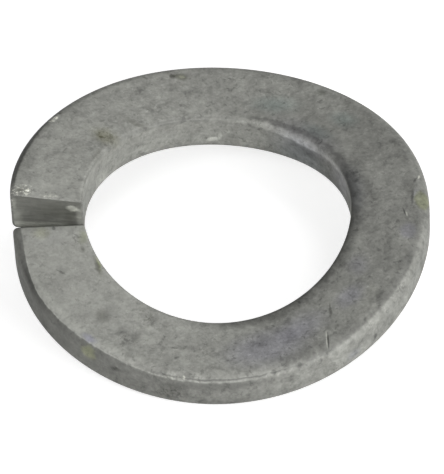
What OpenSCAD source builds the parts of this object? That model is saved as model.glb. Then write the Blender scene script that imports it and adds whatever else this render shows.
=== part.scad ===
// Spring lock washer, wound from one flat bar and sheared through.
// Millimetres. The bore's axis is +Z, and the coil's lowest point is on z = 0.

/* [Ring] */
// diameter of the bore that the bolt passes
bore_d = 36.5; // [34:0.5:39]
// width of the bar, from the bore to the rim
bar_w = 10.85; // [9.5:0.05:12.5]
// height of the bar
thickness = 6; // [5:0.25:7.5]

/* [Spring form] */
// rise of the coil over its whole turn
coil_rise = 7.4; // [5:0.2:9]
// bow of the turn, twice round
saddle = 0.9; // [0:0.1:1.5]
// finer waver of the turn, three times round
waver = 0.3; // [0:0.05:0.5]
// how far the high end is sprung up beyond the even rise
high_end_lift = 1; // [0:0.1:2]
// how far the low end is sprung up beyond the even rise
low_end_lift = 4.4; // [1:0.1:4.8]
// slope of the flat faces at the high end, outwards up
high_end_roll = 5; // [0:0.5:6]
// slope of the flat faces at the low end, outwards up
low_end_roll = -0.5; // [-3:0.5:3]

/* [Split] */
// where the ends meet, anticlockwise from +X
split_angle = 183; // [150:1:210]
// narrowest opening between the two sheared faces, seen from above
split_gap = 0.15; // [0.1:0.05:1.5]
// how far the high end's sheared face turns from straight out, its bore corner forwards
high_skew = 11.5; // [3:0.5:14]
// how far the low end's sheared face turns from straight out, its bore corner forwards
low_skew = 5.5; // [2:0.5:8]
// lean of the high end's sheared face, its foot forwards
shear_lean = 7; // [0:0.5:8]
// how far the bar narrows on each side at its ends
end_draw = 0.5; // [0:0.1:0.8]

/* [Edges] */
// share by which the bar's edges sharpen towards its ends
end_sharpening = 0.6; // [0:0.05:0.7]
// rounding of the rim's upper edge
rim_upper_r = 1.8; // [0.6:0.1:2.2]
// rounding of the rim's lower edge
rim_lower_r = 1.5; // [0.6:0.1:2]
// rounding of the bore's upper edge
bore_upper_r = 0.5; // [0.3:0.1:1.5]
// rounding of the bore's lower edge
bore_lower_r = 1.4; // [0.3:0.1:1.8]
// rounding round the sheared faces
end_edge_r = 0.3; // [0.2:0.1:0.8]

/* [Hidden] */
// how far the swept bar runs past the rim and into the bore before they are turned to size
stock = 0.03;
// stations of the sweep round the turn, away from its ends
stations = 140;
// steps in each rounded corner of the bar
corner_steps = 4;
// share of the turn over which each end is sprung
sprung_share = 0.25;
// share of the turn over which the bar narrows and sharpens at each end
draw_share = 0.13;
// arc behind each sheared face over which the bar's stations turn to meet it, in degrees
skew_arc = 14;
// steps in the rounding round the sheared faces
end_steps = 3;
// spare height above and below the coil for the tools that turn it
tool_spare = 5;

bore_r = bore_d / 2;
rim_r = bore_r + bar_w;
mid_r = (bore_r + rim_r) / 2;
zinc = [0.52, 0.52, 0.5];

// Share of the turn that has gone by at an angle.
function turn_share(angle) = (angle - split_angle) / 360;

// Share of an end's effect that is reached, from 0 beyond its reach to 1 at the end.
function end_share(distance, reach) = pow(max(0, 1 - distance / reach), 2);

// Height of the bar's upper face at mid-width, before the coil is set down on z = 0.
function coil_height(angle) =
    let (share = turn_share(angle))
    coil_rise * (share - 0.5)
    + saddle * cos(2 * angle)
    + waver * cos(3 * angle)
    + high_end_lift * end_share(1 - share, sprung_share)
    + low_end_lift * end_share(share, sprung_share);

// Slope of the flat faces at an angle, in degrees.
function face_roll(angle) = low_end_roll + (high_end_roll - low_end_roll) * turn_share(angle);

// How near an angle is to either sheared face, from 0 along the coil to 1 at a face.
function nearness(angle) =
    let (share = turn_share(angle))
    end_share(1 - share, draw_share) + end_share(share, draw_share);

// Quarter arc about a corner's centre, as points of radius and height.
function corner(centre, r, from) =
    [for (i = [0 : corner_steps]) centre + r * [cos(from + 90 * i / corner_steps), sin(from + 90 * i / corner_steps)]];

// Outline of the bar as points of radius and height below its upper face.
// The inset draws it in all round. Nearness to a sheared face narrows it and sharpens its edges.
function bar_outline(inset, near) =
    let (
        outer = rim_r + stock - inset - end_draw * near,
        inner = bore_r - stock + inset + end_draw * near,
        upper = -inset,
        lower = inset - thickness,
        keep = 1 - end_sharpening * near,
        rim_upper = rim_upper_r * keep,
        rim_lower = rim_lower_r * keep,
        bore_upper = bore_upper_r * keep,
        bore_lower = bore_lower_r * keep
    )
    concat(
        corner([outer - rim_upper, upper - rim_upper], rim_upper, 0),
        corner([inner + bore_upper, upper - bore_upper], bore_upper, 90),
        corner([inner + bore_lower, lower + bore_lower], bore_lower, 180),
        corner([outer - rim_lower, lower + rim_lower], rim_lower, 270)
    );

// Plan position on a station's line, which passes the axis at a set distance.
function on_station(angle, offset, radius) =
    let (along = sqrt(radius * radius - offset * offset))
    [along * cos(angle) + offset * sin(angle), along * sin(angle) - offset * cos(angle)];

// One ring of points round the bar. A station is [angle, offset, inset, lean, nearness].
function station_ring(station) =
    [for (point = bar_outline(station[2], station[4]))
        let (
            offset = station[1] + (point[1] + thickness / 2) * tan(station[3]),
            plan = on_station(station[0], offset, point[0]),
            angle = station[0] - asin(offset / point[0]),
            lift = (point[0] - mid_r) * sin(face_roll(angle))
        )
        [plan[0], plan[1], coil_height(angle) + point[1] + lift]
    ];

// How far the bar is drawn in at a distance behind its sheared face.
function end_inset(distance) =
    end_edge_r - sqrt(max(0, end_edge_r * end_edge_r - pow(max(0, end_edge_r - distance), 2)));

// Stations from a sheared face back along the bar, as [degrees behind the face, share of the skew, inset].
end_stations = concat(
    [for (i = [0 : end_steps])
        let (distance = end_edge_r * (1 - cos(90 * i / end_steps)))
        [distance / mid_r * 180 / PI, 1, end_inset(distance)]
    ],
    [for (i = [1 : 4])
        [end_edge_r / mid_r * 180 / PI + skew_arc * i / 4, 1 - i / 4, 0]
    ]
);

// The opening widens from its narrowest point to mid-width and mid-height by the skew and the lean.
mouth_flare = abs(tan(high_skew) - tan(low_skew)) * bar_w / 2 + tan(shear_lean) * thickness / 2;
half_gap_angle = (split_gap + mouth_flare) / mid_r * 90 / PI;
low_face = split_angle + half_gap_angle;
high_face = split_angle + 360 - half_gap_angle;
end_arc = end_stations[len(end_stations) - 1][0];

// A station whose line crosses mid-width at an angle, turned by a skew and leaned.
function bar_station(angle, skew, inset, lean) =
    [angle - skew, -mid_r * sin(skew), inset, lean, nearness(angle)];

low_stations = [for (s = end_stations)
    bar_station(low_face + s[0], low_skew * s[1], s[2], 0)
];
even_stations = [for (i = [1 : stations - 1])
    bar_station(low_face + end_arc + (high_face - low_face - 2 * end_arc) * i / stations, 0, 0, 0)
];
high_stations = [for (i = [len(end_stations) - 1 : -1 : 0])
    let (s = end_stations[i])
    bar_station(high_face - s[0], high_skew * s[1], s[2], shear_lean * s[1])
];
all_stations = concat(low_stations, even_stations, high_stations);

sweep_points = [for (s = all_stations) each station_ring(s)];
lowest = min([for (p = sweep_points) p[2]]);
highest = max([for (p = sweep_points) p[2]]);

// The bar swept once round, with a cap on each sheared end.
module swept_bar() {
    around = 4 * (corner_steps + 1);
    last = len(all_stations) - 1;
    sides = [for (i = [0 : last - 1], j = [0 : around - 1])
        let (
            a = i * around + j,
            b = i * around + (j + 1) % around,
            c = a + around,
            d = b + around
        )
        each [[a, c, b], [b, c, d]]
    ];
    low_cap = [for (j = [0 : around - 1]) j];
    high_cap = [for (j = [around - 1 : -1 : 0]) last * around + j];
    polyhedron(points = sweep_points, faces = concat(sides, [low_cap, high_cap]), convexity = 4);
}

// Round tool that takes in the whole height of the coil.
module turning(radius) {
    translate([0, 0, -tool_spare])
        cylinder(h = highest - lowest + 2 * tool_spare, r = radius, $fn = 180);
}

// The finished washer, with its bore and rim turned true and its lowest point on z = 0.
module lock_washer() {
    color(zinc)
        difference() {
            intersection() {
                translate([0, 0, -lowest])
                    swept_bar();
                turning(rim_r);
            }
            turning(bore_r);
        }
}

lock_washer();
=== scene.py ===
"""Spring lock washer: a zinc-coated flat bar wound once round, on a pale studio floor."""

from __future__ import annotations

import logging
import math
from dataclasses import dataclass, field, fields, replace
from enum import Enum
from typing import Iterable, Sequence, Union

import bpy
from mathutils import Matrix, Vector

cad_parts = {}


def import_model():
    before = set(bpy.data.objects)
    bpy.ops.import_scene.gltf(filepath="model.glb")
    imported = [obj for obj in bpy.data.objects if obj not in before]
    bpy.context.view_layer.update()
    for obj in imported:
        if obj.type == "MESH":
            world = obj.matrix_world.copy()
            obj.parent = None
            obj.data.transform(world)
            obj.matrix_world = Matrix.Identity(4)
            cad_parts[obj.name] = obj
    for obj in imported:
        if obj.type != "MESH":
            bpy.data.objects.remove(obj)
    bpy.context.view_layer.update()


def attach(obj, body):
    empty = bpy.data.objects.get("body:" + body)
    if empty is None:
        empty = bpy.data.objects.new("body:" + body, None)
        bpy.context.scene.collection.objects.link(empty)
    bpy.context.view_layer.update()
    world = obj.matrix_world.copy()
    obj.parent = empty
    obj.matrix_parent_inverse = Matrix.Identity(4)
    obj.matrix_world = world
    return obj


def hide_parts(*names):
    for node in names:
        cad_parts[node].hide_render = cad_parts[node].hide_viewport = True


log = logging.getLogger("lock_washer")

MM = 0.001
NODE = "lock_washer"
PLACE = "bar_place"
SHEARED = "sheared"
IMAGE_W = 444
IMAGE_H = 474
# how far behind a sheared face still counts as on it, in metres
ON_FACE = 1e-7
FLOAT = "NodeSocketFloat"
VECTOR = "NodeSocketVector"

Tree = bpy.types.NodeTree
Socket = bpy.types.NodeSocket
Material = bpy.types.Material
Colour = tuple[float, float, float]
# where something comes in and where it goes out, with two limits for each
Span = tuple[float, float, float, float]
Plug = Union["Term", float, Sequence[float], Socket]


@dataclass(frozen=True)
class Term:
    """A value in a node tree. Python's arithmetic on it places maths nodes."""

    tree: Tree
    socket: Socket

    def maths(self, operation: str, *others: Plug, clamp: bool = False) -> Term:
        """Places one maths node.

        Args:
            operation: the node's operation.
            others: its second and third values.
            clamp: whether the result is held between 0 and 1.

        Returns:
            The node's result.
        """
        node = self.tree.nodes.new("ShaderNodeMath")
        node.operation = operation
        node.use_clamp = clamp
        for socket, value in zip(node.inputs, (self, *others)):
            feed(self.tree, value, socket)
        return Term(self.tree, node.outputs[0])

    def __add__(self, other: Plug) -> Term:
        """Sum of two values."""
        return self.maths("ADD", other)

    def __sub__(self, other: Plug) -> Term:
        """Difference of two values."""
        return self.maths("SUBTRACT", other)

    def __rsub__(self, other: float) -> Term:
        """A plain number less this value."""
        return (self * -1.0).maths("ADD", other)

    def __mul__(self, other: Plug) -> Term:
        """Product of two values."""
        return self.maths("MULTIPLY", other)

    def __truediv__(self, other: Plug) -> Term:
        """Quotient of two values."""
        return self.maths("DIVIDE", other)

    def sin(self) -> Term:
        """Sine of an angle in radians."""
        return self.maths("SINE")

    def cos(self) -> Term:
        """Cosine of an angle in radians."""
        return self.maths("COSINE")

    def root(self) -> Term:
        """Square root, with nothing below zero."""
        return self.at_least(0.0).maths("SQRT")

    def square(self) -> Term:
        """The value times itself."""
        return self.maths("MULTIPLY", self)

    def at_least(self, other: Plug) -> Term:
        """The larger of two values."""
        return self.maths("MAXIMUM", other)

    def at_most(self, other: Plug) -> Term:
        """The smaller of two values."""
        return self.maths("MINIMUM", other)

    def held(self) -> Term:
        """The value held between 0 and 1."""
        return self.maths("ADD", 0.0, clamp=True)

    def below(self, limit: Plug) -> Term:
        """1 where the value is under a limit, and 0 elsewhere."""
        return self.maths("LESS_THAN", limit)

    __radd__ = __add__
    __rmul__ = __mul__


def feed(tree: Tree, value: Plug, socket: Socket) -> None:
    """Gives a socket its value, by a link or as a plain number.

    Args:
        tree: the tree that holds the socket.
        value: a term, a socket, a number or a row of numbers.
        socket: the input that takes it.
    """
    if isinstance(value, Term):
        tree.links.new(value.socket, socket)
    elif isinstance(value, Socket):
        tree.links.new(value, socket)
    else:
        socket.default_value = value


def place(tree: Tree, kind: str, settings: dict | None = None, **inputs: Plug) -> bpy.types.Node:
    """Places a node, with its settings and inputs.

    Args:
        tree: the tree that takes it.
        kind: the node's type.
        settings: properties of the node itself.
        inputs: values by socket name, with underscores for spaces.

    Returns:
        The node.
    """
    node = tree.nodes.new(kind)
    for name, value in (settings or {}).items():
        setattr(node, name, value)
    for name, value in inputs.items():
        feed(tree, value, node.inputs[name.replace("_", " ")])
    return node


@dataclass(frozen=True)
class CoilSizes:
    """Sizes of the wound bar, in metres and radians. They are those of the part's source."""

    bore_radius: float = 18.25 * MM
    bar_width: float = 10.85 * MM
    thickness: float = 6.0 * MM
    coil_rise: float = 7.4 * MM
    saddle: float = 0.9 * MM
    waver: float = 0.3 * MM
    high_end_lift: float = 1.0 * MM
    low_end_lift: float = 4.4 * MM
    sprung_share: float = 0.25
    high_end_roll: float = math.radians(5.0)
    low_end_roll: float = math.radians(-0.5)
    split_angle: float = math.radians(183.0)
    split_gap: float = 0.15 * MM
    high_skew: float = math.radians(11.5)
    low_skew: float = math.radians(5.5)
    skew_arc: float = math.radians(14.0)
    shear_lean: float = math.radians(7.0)
    end_draw: float = 0.5 * MM
    draw_share: float = 0.13
    end_sharpening: float = 0.6
    rim_upper: float = 1.8 * MM
    rim_lower: float = 1.5 * MM
    bore_upper: float = 0.5 * MM
    bore_lower: float = 1.4 * MM
    end_edge: float = 0.3 * MM


@dataclass
class WoundBar:
    """The washer: a rounded flat bar that Geometry Nodes wind once round by rule."""

    sizes: CoilSizes = field(default_factory=CoilSizes)
    stations: int = 760
    outline_points: int = 120
    corner_points: int = 10
    crowding: float = 0.75

    def build(self, coat: Material, sheared: Material) -> bpy.types.Object:
        """Winds the bar and makes a plain mesh of it.

        Args:
            coat: finish of the coated faces.
            sheared: finish of the two sheared faces.

        Returns:
            The washer's object, with no modifier.
        """
        tree = self.tree(coat, sheared)
        washer = bpy.data.objects.new("washer_coil", bpy.data.meshes.new("washer_coil"))
        bpy.context.scene.collection.objects.link(washer)
        modifier = washer.modifiers.new("wind", "NODES")
        modifier.node_group = tree
        values = {f.name: getattr(self.sizes, f.name) for f in fields(self.sizes)}
        values.update(stations=self.stations, outline_points=self.outline_points)
        for item in tree.interface.items_tree:
            if item.item_type == "SOCKET" and item.in_out == "INPUT" and item.name in values:
                modifier[item.identifier] = values[item.name]
        bpy.context.view_layer.update()
        graph = bpy.context.evaluated_depsgraph_get()
        mesh = bpy.data.meshes.new_from_object(washer.evaluated_get(graph))
        washer.modifiers.remove(modifier)
        washer.data = mesh
        mesh.name = "washer_coil"
        log.info("washer coil: %d faces", len(mesh.polygons))
        return washer

    def tree(self, coat: Material, sheared: Material) -> Tree:
        """Builds the tree that winds the bar.

        Args:
            coat: finish of the coated faces.
            sheared: finish of the two sheared faces.

        Returns:
            The Geometry Nodes tree, with one input for each size.
        """
        tree = bpy.data.node_groups.new("wound bar", "GeometryNodeTree")
        tree.interface.new_socket("Geometry", in_out="OUTPUT", socket_type="NodeSocketGeometry")
        for size in fields(self.sizes):
            tree.interface.new_socket(size.name, in_out="INPUT", socket_type="NodeSocketFloat")
        for count in ("stations", "outline_points"):
            tree.interface.new_socket(count, in_out="INPUT", socket_type="NodeSocketInt")
        given = tree.nodes.new("NodeGroupInput")
        size = {s.name: Term(tree, s) for s in given.outputs if s.name}

        along, path = self.path(tree, size)
        outline, profile = self.profile(tree, size)
        swept = place(tree, "GeometryNodeCurveToMesh", Curve=path, Profile_Curve=profile, Fill_Caps=True)
        position, share, behind = self.position(tree, size, along, outline)
        moved = place(tree, "GeometryNodeSetPosition", Geometry=swept.outputs[0], Position=position)

        parts = place(tree, "ShaderNodeSeparateXYZ", Vector=outline)
        across = Term(tree, parts.outputs[0]) / size["bar_width"] * 2.0
        up = Term(tree, parts.outputs[1]) / size["thickness"] * 2.0
        where = place(tree, "ShaderNodeCombineXYZ", X=across, Y=up, Z=share)
        cut = 1.0 - (behind / size["end_edge"]).held()
        kept = moved
        for name, kind, value in ((PLACE, "FLOAT_VECTOR", where.outputs[0]), (SHEARED, "FLOAT", cut)):
            kept = place(
                tree, "GeometryNodeStoreNamedAttribute", {"data_type": kind, "domain": "POINT"},
                Geometry=kept.outputs[0], Name=name, Value=value,
            )
        box = place(tree, "GeometryNodeBoundBox", Geometry=kept.outputs[0])
        low = place(tree, "ShaderNodeSeparateXYZ", Vector=box.outputs["Min"])
        drop = place(tree, "ShaderNodeCombineXYZ", Z=Term(tree, low.outputs[2]) * -1.0)
        laid = place(tree, "GeometryNodeTransform", Geometry=kept.outputs[0], Translation=drop.outputs[0])
        smooth = place(tree, "GeometryNodeSetShadeSmooth", Geometry=laid.outputs[0])
        outwards = place(tree, "GeometryNodeFlipFaces", Mesh=smooth.outputs[0])
        whole = place(tree, "GeometryNodeRealizeInstances", Geometry=outwards.outputs[0])
        coated = place(tree, "GeometryNodeSetMaterial", Geometry=whole.outputs[0], Material=coat)
        ends = behind.below(ON_FACE)
        dressed = place(
            tree, "GeometryNodeSetMaterial", Geometry=coated.outputs[0], Selection=ends, Material=sheared,
        )
        out = tree.nodes.new("NodeGroupOutput")
        tree.links.new(dressed.outputs[0], out.inputs[0])
        return tree

    def path(self, tree: Tree, size: dict[str, Term]) -> tuple[Term, Socket]:
        """Makes the straight path whose stations are wound round later.

        Args:
            tree: the tree that takes the nodes.
            size: the tree's inputs by name.

        Returns:
            The share of the path at each station, and the path.
        """
        line = place(tree, "GeometryNodeCurvePrimitiveLine", End=(1.0, 0.0, 0.0))
        even = place(tree, "GeometryNodeResampleCurve", Curve=line.outputs[0], Count=size["stations"])
        share = place(tree, "GeometryNodeSplineParameter")
        kept = tree.nodes.new("GeometryNodeCaptureAttribute")
        kept.capture_items.new("FLOAT", "Share")
        tree.links.new(even.outputs[0], kept.inputs["Geometry"])
        tree.links.new(share.outputs["Factor"], kept.inputs["Share"])
        return Term(tree, kept.outputs["Share"]), kept.outputs["Geometry"]

    def profile(self, tree: Tree, size: dict[str, Term]) -> tuple[Socket, Socket]:
        """Makes the bar's outline, with its own rounding on each of the four edges.

        Args:
            tree: the tree that takes the nodes.
            size: the tree's inputs by name.

        Returns:
            The outline's own position at each point, and the outline.
        """
        bar = place(
            tree, "GeometryNodeCurvePrimitiveQuadrilateral",
            Width=size["bar_width"], Height=size["thickness"],
        )
        position = place(tree, "GeometryNodeInputPosition")
        corner = place(tree, "ShaderNodeSeparateXYZ", Vector=position.outputs[0])
        radius = self.edge_radius(size, Term(tree, corner.outputs[0]), Term(tree, corner.outputs[1]))
        rounded = place(
            tree, "GeometryNodeFilletCurve", {"mode": "POLY"},
            Curve=bar.outputs[0], Count=self.corner_points, Radius=radius,
        )
        count = size["outline_points"]
        even = place(tree, "GeometryNodeResampleCurve", Curve=rounded.outputs[0], Count=count)
        kept = tree.nodes.new("GeometryNodeCaptureAttribute")
        kept.capture_items.new("VECTOR", "Outline")
        tree.links.new(even.outputs[0], kept.inputs["Geometry"])
        tree.links.new(position.outputs[0], kept.inputs["Outline"])
        return kept.outputs["Outline"], kept.outputs["Geometry"]

    def edge_radius(self, size: dict[str, Term], across: Term, up: Term) -> Term:
        """Rounding of the edge that is nearest to a place in the bar's section."""
        on_bore, low = across.below(0.0), up.below(0.0)
        rim = size["rim_upper"] + (size["rim_lower"] - size["rim_upper"]) * low
        bore = size["bore_upper"] + (size["bore_lower"] - size["bore_upper"]) * low
        return rim + (bore - rim) * on_bore

    def sharpened(self, half: Term, value: Term, radius: Term, sharper: Term) -> Term:
        """Moves one coordinate of the outline from an edge radius to a smaller one.

        Args:
            half: half of the section's extent along the coordinate.
            value: the coordinate.
            radius: the outline's rounding.
            sharper: the rounding wanted.

        Returns:
            The new coordinate.
        """
        size = value.maths("ABSOLUTE")
        flat = size.at_most(half - radius)
        moved = flat * (half - sharper) / (half - radius) + (size - flat) * sharper / radius
        return moved * value.maths("SIGN")

    def position(
        self, tree: Tree, size: dict[str, Term], along: Term, outline: Socket,
    ) -> tuple[Socket, Term, Term]:
        """Works out where the winding takes each point.

        Args:
            tree: the tree that takes the nodes.
            size: the tree's inputs by name.
            along: share of the path, 0 at the low end and 1 at the high end.
            outline: the point's place in the bar's section.

        Returns:
            The point's position, its share of the turn, and how far it is behind the nearest sheared face.
        """
        mid = size["bore_radius"] + size["bar_width"] * 0.5
        skew_flare = size["high_skew"].maths("TANGENT") - size["low_skew"].maths("TANGENT")
        lean_flare = size["shear_lean"].maths("TANGENT") * size["thickness"] * 0.5
        gap = size["split_gap"] + skew_flare * size["bar_width"] * 0.5 + lean_flare
        half_gap = gap * 0.5 / mid
        crowded = along - (along * math.tau).sin() * (self.crowding / math.tau)
        angle = size["split_angle"] + half_gap + crowded * (math.tau - half_gap * 2.0)
        from_low = (angle - size["split_angle"] - half_gap) * mid
        from_high = (size["split_angle"] + math.tau - half_gap - angle) * mid
        behind = from_low.at_most(from_high).at_least(0.0)

        end_edge = size["end_edge"]
        missing = (end_edge - behind).at_least(0.0)
        inset = end_edge - (end_edge.square() - missing.square()).root()
        section = place(tree, "ShaderNodeSeparateXYZ", Vector=outline)
        gone = (angle - size["split_angle"]) / math.tau
        near = self.near(gone, size["draw_share"]) + self.near(1.0 - gone, size["draw_share"])
        narrow = 1.0 - (inset + size["end_draw"] * near) * 2.0 / size["bar_width"]
        flat = 1.0 - inset * 2.0 / size["thickness"]
        across, up = Term(tree, section.outputs[0]), Term(tree, section.outputs[1])
        rounding = self.edge_radius(size, across, up)
        sharper = rounding * (1.0 - size["end_sharpening"] * near)
        radius = mid + self.sharpened(size["bar_width"] * 0.5, across, rounding, sharper) * narrow
        height = self.sharpened(size["thickness"] * 0.5, up, rounding, sharper) * flat

        turned = 1.0 - ((behind - end_edge) / (size["skew_arc"] * mid)).held()
        at_high = from_high.maths("LESS_THAN", from_low)
        skew = (size["low_skew"] + (size["high_skew"] - size["low_skew"]) * at_high) * turned
        lean = size["shear_lean"] * turned * at_high
        offset = height * lean.maths("TANGENT") - mid * skew.sin()
        line = angle - skew
        reach = (radius.square() - offset.square()).root()
        x = reach * line.cos() + offset * line.sin()
        y = reach * line.sin() - offset * line.cos()

        true_angle = line - (offset / radius).maths("ARCSINE")
        share = (true_angle - size["split_angle"]) / math.tau
        roll = size["low_end_roll"] + (size["high_end_roll"] - size["low_end_roll"]) * share
        z = self.coil_height(size, true_angle, share) + height + (radius - mid) * roll.sin()
        spot = place(tree, "ShaderNodeCombineXYZ", X=x, Y=y, Z=z)
        return spot.outputs[0], share, behind

    def coil_height(self, size: dict[str, Term], angle: Term, share: Term) -> Term:
        """Height of the bar's middle along the turn.

        Args:
            size: the tree's inputs by name.
            angle: the angle round the axis.
            share: the share of the turn that has gone by.

        Returns:
            The height, before the washer is laid on the floor.
        """
        even = size["coil_rise"] * (share - 0.5)
        bow = size["saddle"] * (angle * 2.0).cos() + size["waver"] * (angle * 3.0).cos()
        high = size["high_end_lift"] * self.near(1.0 - share, size["sprung_share"])
        low = size["low_end_lift"] * self.near(share, size["sprung_share"])
        return even + bow + high + low

    def near(self, distance: Term, reach: Term) -> Term:
        """Share of an end's effect, from 1 at the end to 0 beyond its reach."""
        return (1.0 - distance / reach).at_least(0.0).square()


def vector_maths(tree: Tree, operation: str, *values: Plug) -> Socket:
    """Places one vector maths node.

    Args:
        tree: the tree that takes it.
        operation: the node's operation.
        values: its vectors, in order.

    Returns:
        The node's result.
    """
    node = place(tree, "ShaderNodeVectorMath", {"operation": operation})
    for socket, value in zip(node.inputs, values):
        feed(tree, value, socket)
    return node.outputs["Value" if operation == "LENGTH" else "Vector"]


def scaled(tree: Tree, vector: Plug, factor: Plug) -> Socket:
    """A vector or a colour times one number."""
    node = place(tree, "ShaderNodeVectorMath", {"operation": "SCALE"}, Scale=factor)
    feed(tree, vector, node.inputs[0])
    return node.outputs[0]


def steps(value: Term, low: Plug, high: Plug) -> Term:
    """Soft step from 0 to 1 between two limits."""
    node = place(
        value.tree, "ShaderNodeMapRange", {"interpolation_type": "SMOOTHSTEP"},
        Value=value, From_Min=low, From_Max=high,
    )
    return Term(value.tree, node.outputs[0])


def strip(value: Term, span: Span) -> Term:
    """1 between the middle limits of a span, fading to 0 at the outer ones."""
    return steps(value, span[0], span[1]) * (1.0 - steps(value, span[2], span[3]))


def new_group(name: str, gives: str, kind: str, **takes: str) -> tuple[Tree, dict[str, Term], Socket]:
    """Starts a shader node group with one output.

    Args:
        name: what it is called.
        gives: its output's name.
        kind: its output's socket kind.
        takes: its inputs' socket kinds by name.

    Returns:
        The group's tree, its inputs by name, and the socket that takes its result.
    """
    tree = bpy.data.node_groups.new(name, "ShaderNodeTree")
    for label, input_kind in takes.items():
        tree.interface.new_socket(label, in_out="INPUT", socket_type=input_kind)
    tree.interface.new_socket(gives, in_out="OUTPUT", socket_type=kind)
    given = tree.nodes.new("NodeGroupInput")
    out = tree.nodes.new("NodeGroupOutput")
    return tree, {s.name: Term(tree, s) for s in given.outputs if s.name}, out.inputs[0]


@dataclass
class Effects:
    """Shader groups that the finishes share. Each is built once."""

    built: dict[str, Tree] = field(default_factory=dict)

    def use(self, tree: Tree, name: str, **inputs: Plug) -> Term:
        """Places a group in a material.

        Args:
            tree: the material's tree.
            name: the group's name.
            inputs: values by socket name.

        Returns:
            The group's output.
        """
        if name not in self.built:
            self.built[name] = getattr(self, name)()
        node = tree.nodes.new("ShaderNodeGroup")
        node.node_tree = self.built[name]
        for label, value in inputs.items():
            feed(tree, value, node.inputs[label])
        return Term(tree, node.outputs[0])

    def noise(
        self, given: dict[str, Term], detail: float, roughness: float, distortion: float, finer: float = 1.0,
    ) -> Term:
        """Places a noise, moved by its group's seed so that each use is its own.

        Args:
            given: the group's inputs, with a vector, a size and a seed.
            detail: how many finer layers it has.
            roughness: how strong they are.
            distortion: how far it is twisted.
            finer: how much finer it is than the group's size.

        Returns:
            The noise, from 0 to 1.
        """
        tree = given["Vector"].tree
        noise = place(
            tree, "ShaderNodeTexNoise", Vector=vector_maths(tree, "ADD", given["Vector"], given["Seed"]),
            Scale=given["Size"].maths("POWER", -1.0) * finer,
            Detail=detail, Roughness=roughness, Distortion=distortion,
        )
        return Term(tree, noise.outputs[0])

    def mottle(self) -> Tree:
        """Cloudy value between about -1 and 1, with blotches of one size."""
        tree, given, out = new_group("mottle", "Value", FLOAT, Vector=VECTOR, Size=FLOAT, Seed=FLOAT)
        feed(tree, self.noise(given, detail=1.5, roughness=0.55, distortion=0.3) * 2.0 - 1.0, out)
        return tree

    def spots(self) -> Tree:
        """Mask of scattered ragged spots. A higher limit leaves fewer."""
        tree, given, out = new_group(
            "spots", "Mask", FLOAT, Vector=VECTOR, Size=FLOAT, Limit=FLOAT, Seed=FLOAT,
        )
        noise = self.noise(given, detail=3.0, roughness=0.65, distortion=0.5)
        feed(tree, steps(noise, given["Limit"], given["Limit"] + 0.1), out)
        return tree

    def veins(self) -> Tree:
        """Mask of thin winding lines, broken where a second noise is low."""
        tree, given, out = new_group("veins", "Mask", FLOAT, Vector=VECTOR, Size=FLOAT, Seed=FLOAT)
        winding = self.noise(given, detail=2.0, roughness=0.6, distortion=1.0)
        second = self.noise(given, detail=1.0, roughness=0.5, distortion=0.0, finer=1.7)
        line = 1.0 - steps((winding - 0.5).maths("ABSOLUTE"), 0.004, 0.022)
        feed(tree, line * steps(second, 0.46, 0.6), out)
        return tree

    def mark(self) -> Tree:
        """Mask of one oval patch, 1 in its middle and 0 outside."""
        tree, given, out = new_group(
            "mark", "Mask", FLOAT, Vector=VECTOR, Centre=VECTOR, Radii=VECTOR, Turn=FLOAT, Soft=FLOAT,
        )
        turned = place(
            tree, "ShaderNodeVectorRotate", {"rotation_type": "Z_AXIS"},
            Vector=vector_maths(tree, "SUBTRACT", given["Vector"], given["Centre"]),
            Angle=given["Turn"] * -1.0,
        )
        in_radii = vector_maths(tree, "DIVIDE", turned.outputs[0], given["Radii"])
        away = Term(tree, vector_maths(tree, "LENGTH", in_radii))
        feed(tree, 1.0 - steps(away, 1.0 - given["Soft"], 1.0 + given["Soft"] * 0.5), out)
        return tree

    def ragged(self) -> Tree:
        """The position, pushed about so that what follows it has a ragged edge."""
        tree, given, out = new_group("ragged", "Vector", VECTOR, Vector=VECTOR, Size=FLOAT, Reach=FLOAT)
        noise = place(
            tree, "ShaderNodeTexNoise",
            Vector=given["Vector"], Scale=given["Size"].maths("POWER", -1.0), Detail=3.0, Roughness=0.6,
        )
        push = vector_maths(tree, "SUBTRACT", noise.outputs["Color"], (0.5, 0.5, 0.5))
        feed(tree, vector_maths(tree, "ADD", given["Vector"], scaled(tree, push, given["Reach"])), out)
        return tree


@dataclass(frozen=True)
class Mark:
    """One patch on a finish, placed in millimetres of the part's own frame.

    It multiplies the colour by its tone, in an oval that is turned about Z by degrees, and adds its height
    to the relief. A ragged one has a wavering outline, and a broken one shows on scattered grains alone.
    """

    what: str
    centre: tuple[float, float, float]
    radii: tuple[float, float, float]
    tone: float | Colour
    turn: float = 0.0
    soft: float = 0.9
    ragged: bool = True
    height: float = 0.0
    broken: bool = False

    def factor(self) -> tuple[float, float, float, float]:
        """The tone as a colour. A plain number is a grey."""
        red, green, blue = self.tone if isinstance(self.tone, tuple) else (self.tone,) * 3
        return red, green, blue, 1.0


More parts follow.
